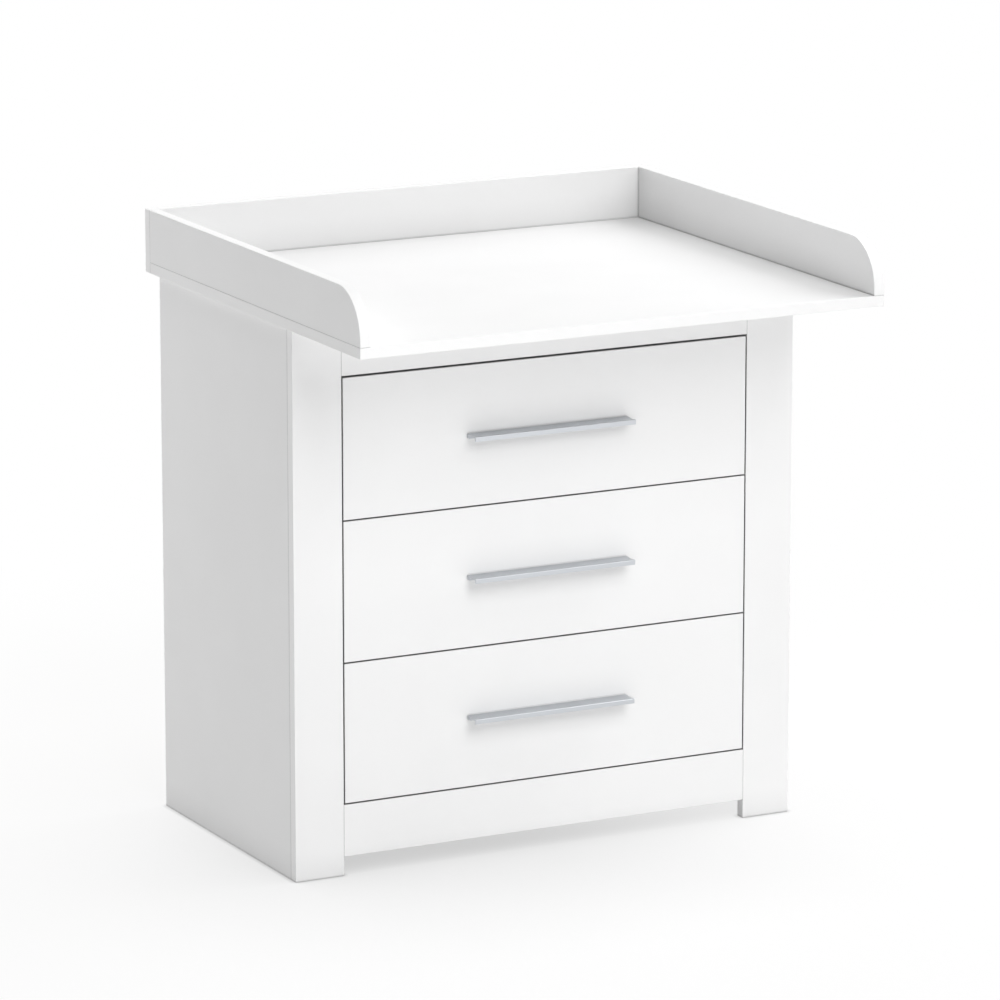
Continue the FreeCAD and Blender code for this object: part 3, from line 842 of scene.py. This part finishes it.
# ------------------------------------------------------------------ studio
# Name, middle, width and height in metres, and watts. The low one stays under the changing
# board, so it lights the fronts and leaves the guards' insides in shade.
SOFT_BOXES = (
    ("high_front_box", (0.0, -3.4, 3.2), (2.5, 2.5), 91),
    ("high_right_box", (2.8, 0.0, 3.2), (2.5, 2.5), 103),
    ("high_back_box", (0.0, 2.8, 3.2), (2.5, 2.5), 45),
    ("overhead_box", (0.0, 0.3, 4.0), (3.0, 3.0), 17),
    ("low_front_box", (-1.2, -3.9, 0.4), (4.0, 0.8), 56),
    ("left_back_box", (-2.8, 1.5, 1.0), (1.3, 1.3), 27),
)


LAMP_TARGET = Vector((0, 0, 0.5))
WHITE = (1, 1, 1)
FLOOR_REACH = 14.0      # metres each way, past the camera's view
SHADOW_FADE = {"From Min": 0.9, "From Max": 1.8}        # metres from the middle
CONTACT_FADE = {"From Min": 0.25, "From Max": 0.75}     # metres from the contact centre
CONTACT_LEAST = 0.2     # of its depth, that the contact shadow keeps farther out
FOOT_SHADOW_LEAST = 0.3        # of the floor's white, that is left in the painted shadow line under a board


def soft_box(name, centre, size, power):
    """A lamp of a given width and height that faces the dresser and isn't seen itself."""
    data = bpy.data.lights.new(name, "AREA")
    data.shape = "RECTANGLE"
    data.size, data.size_y = size
    data.energy = power
    lamp = bpy.data.objects.new(name, data)
    lamp.location = centre
    aim = LAMP_TARGET - lamp.location
    lamp.rotation_euler = aim.to_track_quat("-Z", "Y").to_euler()
    lamp.visible_camera = False
    bpy.context.scene.collection.objects.link(lamp)


def seen_or_mirrored(tree):
    """1 for rays from the camera, or that a glossy or clear surface sends on."""
    ray = add_node(tree, "ShaderNodeLightPath").outputs
    either = add_node(tree, MATH, {0: ray["Is Camera Ray"], 1: ray["Is Glossy Ray"]},
                      output="Value", operation="MAXIMUM")
    return add_node(tree, MATH, {0: either, 1: ray["Is Transmission Ray"]}, output="Value",
                    operation="MAXIMUM")


def floor_white_with_painted_shadow(tree, place, look):
    """White, with a painted contact shadow near the dresser and a painted shadow line under
    each board.
    """
    near = add_node(tree, OCCLUSION, {"Distance": look.contact_reach}, output="AO",
                    samples=16)
    offset = add_node(tree, "ShaderNodeVectorMath", {0: place, 1: look.contact_centre},
                      output="Value", operation="DISTANCE")
    depth = add_node(tree, MAP_RANGE,
                     {"Value": offset, **CONTACT_FADE, "To Min": look.contact_depth,
                      "To Max": CONTACT_LEAST * look.contact_depth}, output="Result",
                     interpolation_type="SMOOTHSTEP")
    closed = add_node(tree, MATH, {0: 1.0, 1: near}, output="Value", operation="SUBTRACT")
    shade = add_node(tree, MATH, {0: closed, 1: depth}, output="Value",
                     operation="MULTIPLY")
    unshaded = add_node(tree, MATH, {0: 1.0, 1: shade}, output="Value",
                        operation="SUBTRACT")
    # Painted shadow line under each board
    foot = add_node(tree, OCCLUSION, {"Distance": look.foot_shadow_reach}, output="AO", samples=8)
    foot_shadow = add_node(tree, MAP_RANGE, {"Value": foot, "To Min": FOOT_SHADOW_LEAST},
                         output="Result")
    strength = add_node(tree, MATH, {0: unshaded, 1: foot_shadow}, output="Value",
                        operation="MULTIPLY")
    return add_node(tree, "ShaderNodeEmission", {"Strength": strength}, output="Emission")


def floor_material(look):
    """Matt white studio paint: it keeps real shadows near the dresser, with a painted contact
    shadow there too, and is even white beyond.
    """
    material, tree, place = new_material("white_studio_paint")
    lit = add_node(tree, "ShaderNodeBsdfDiffuse", {"Color": look.floor_colour},
                   output="BSDF")
    shadowed = add_node(tree, "ShaderNodeBsdfDiffuse", {"Color": WHITE}, output="BSDF")
    distance = add_node(tree, "ShaderNodeVectorMath", {0: place}, output="Value",
                        operation="LENGTH")
    share = add_node(tree, MAP_RANGE,
                     {"Value": distance, **SHADOW_FADE, "To Min": look.shadow_share,
                      "To Max": 0.0}, output="Result", interpolation_type="SMOOTHSTEP")
    seen = add_node(tree, "ShaderNodeMixShader",
                    {"Fac": share, 1: floor_white_with_painted_shadow(tree, place, look), 2: shadowed},
                    output="Shader")
    surface = add_node(tree, "ShaderNodeMixShader",
                       {"Fac": seen_or_mirrored(tree), 1: lit, 2: seen}, output="Shader")
    add_node(tree, "ShaderNodeOutputMaterial", {"Surface": surface})
    return material


def make_floor(look):
    """A pale floor that looks white and keeps the dresser's shadow."""
    mesh = bpy.data.meshes.new("studio_floor")
    reach = FLOOR_REACH
    corners = [(-reach, -reach, 0), (reach, -reach, 0), (reach, reach, 0), (-reach, reach, 0)]
    mesh.from_pydata(corners, [], [(0, 1, 2, 3)])
    mesh.materials.append(floor_material(look))
    floor = bpy.data.objects.new("studio_floor", mesh)
    bpy.context.scene.collection.objects.link(floor)


def make_sky(look):
    """Even light from all round, seen as white."""
    world = bpy.data.worlds.new("white_studio")
    world.use_nodes = True
    tree = world.node_tree
    tree.nodes.clear()
    strength = add_node(tree, MIX, {"Factor": seen_or_mirrored(tree), "A": look.sky_strength,
                                    "B": 1.0}, output="Result")
    sky = add_node(tree, "ShaderNodeBackground", {"Color": WHITE, "Strength": strength},
                   output="Background")
    add_node(tree, "ShaderNodeOutputWorld", {"Surface": sky})
    bpy.context.scene.world = world


def make_camera(look):
    """The camera, at the photograph's angle."""
    yaw = look.camera_yaw
    pitch = look.camera_pitch
    forward = Vector((math.sin(yaw) * math.cos(pitch), math.cos(yaw) * math.cos(pitch),
                      -math.sin(pitch)))
    data = bpy.data.cameras.new("studio_camera")
    data.lens = look.camera_lens
    camera = bpy.data.objects.new("studio_camera", data)
    camera.location = Vector(look.camera_target) - forward * look.camera_distance
    camera.rotation_euler = forward.to_track_quat("-Z", "Y").to_euler()
    bpy.context.scene.collection.objects.link(camera)
    bpy.context.scene.camera = camera


class DRESSER_OT_set_stage(bpy.types.Operator):
    """Lay the floor and set the lights and the camera"""
    bl_idname = "dresser.set_stage"
    bl_label = "Studio"

    def execute(self, context):
        look = context.scene.changing_dresser.stage
        make_camera(look)
        make_floor(look)
        make_sky(look)
        for name, centre, size, power in SOFT_BOXES:
            soft_box(name, centre, size, power * look.light_level)
        context.scene.view_settings.view_transform = "Standard"
        return {"FINISHED"}


# ------------------------------------------------------------------ panel and registration
OPERATORS = (
    DRESSER_OT_set_stage,
    DRESSER_OT_finish_boards,
    DRESSER_OT_finish_fittings,
    DRESSER_OT_drive_guard_screws,
    DRESSER_OT_drive_handle_screws,
    DRESSER_OT_drive_runner_screws,
    DRESSER_OT_drive_top_screws,
)


class VIEW3D_PT_changing_dresser(bpy.types.Panel):
    """Lists the dresser's settings and the steps that dress it"""
    bl_idname = "VIEW3D_PT_changing_dresser"
    bl_label = "Changing Dresser"
    bl_space_type = "VIEW_3D"
    bl_region_type = "UI"
    bl_category = "Dresser"

    def draw(self, context):
        for step in OPERATORS:
            self.layout.operator(step.bl_idname)
        settings = context.scene.changing_dresser
        for group in (settings.boards, settings.metals, settings.screws, settings.stage):
            box = self.layout.box()
            for name in group.__annotations__:
                box.prop(group, name)


CLASSES = (
    DresserBoardLook,
    DresserMetalLook,
    DresserScrewSizes,
    DresserStageLook,
    DresserSettings,
    *OPERATORS,
    VIEW3D_PT_changing_dresser,
)


def register():
    """Add the settings, the steps and the panel to Blender."""
    for item in CLASSES:
        bpy.utils.register_class(item)
    bpy.types.Scene.changing_dresser = PointerProperty(type=DresserSettings)


def unregister():
    """Take them out again."""
    del bpy.types.Scene.changing_dresser
    for item in reversed(CLASSES):
        bpy.utils.unregister_class(item)


def main():
    """Dress every group in order."""
    register()
    bpy.ops.dresser.set_stage()
    bpy.ops.dresser.finish_boards()
    bpy.ops.dresser.finish_fittings()
    bpy.ops.dresser.drive_guard_screws()
    bpy.ops.dresser.drive_handle_screws()
    bpy.ops.dresser.drive_runner_screws()
    bpy.ops.dresser.drive_top_screws()


if __name__ == "__main__":
    main()
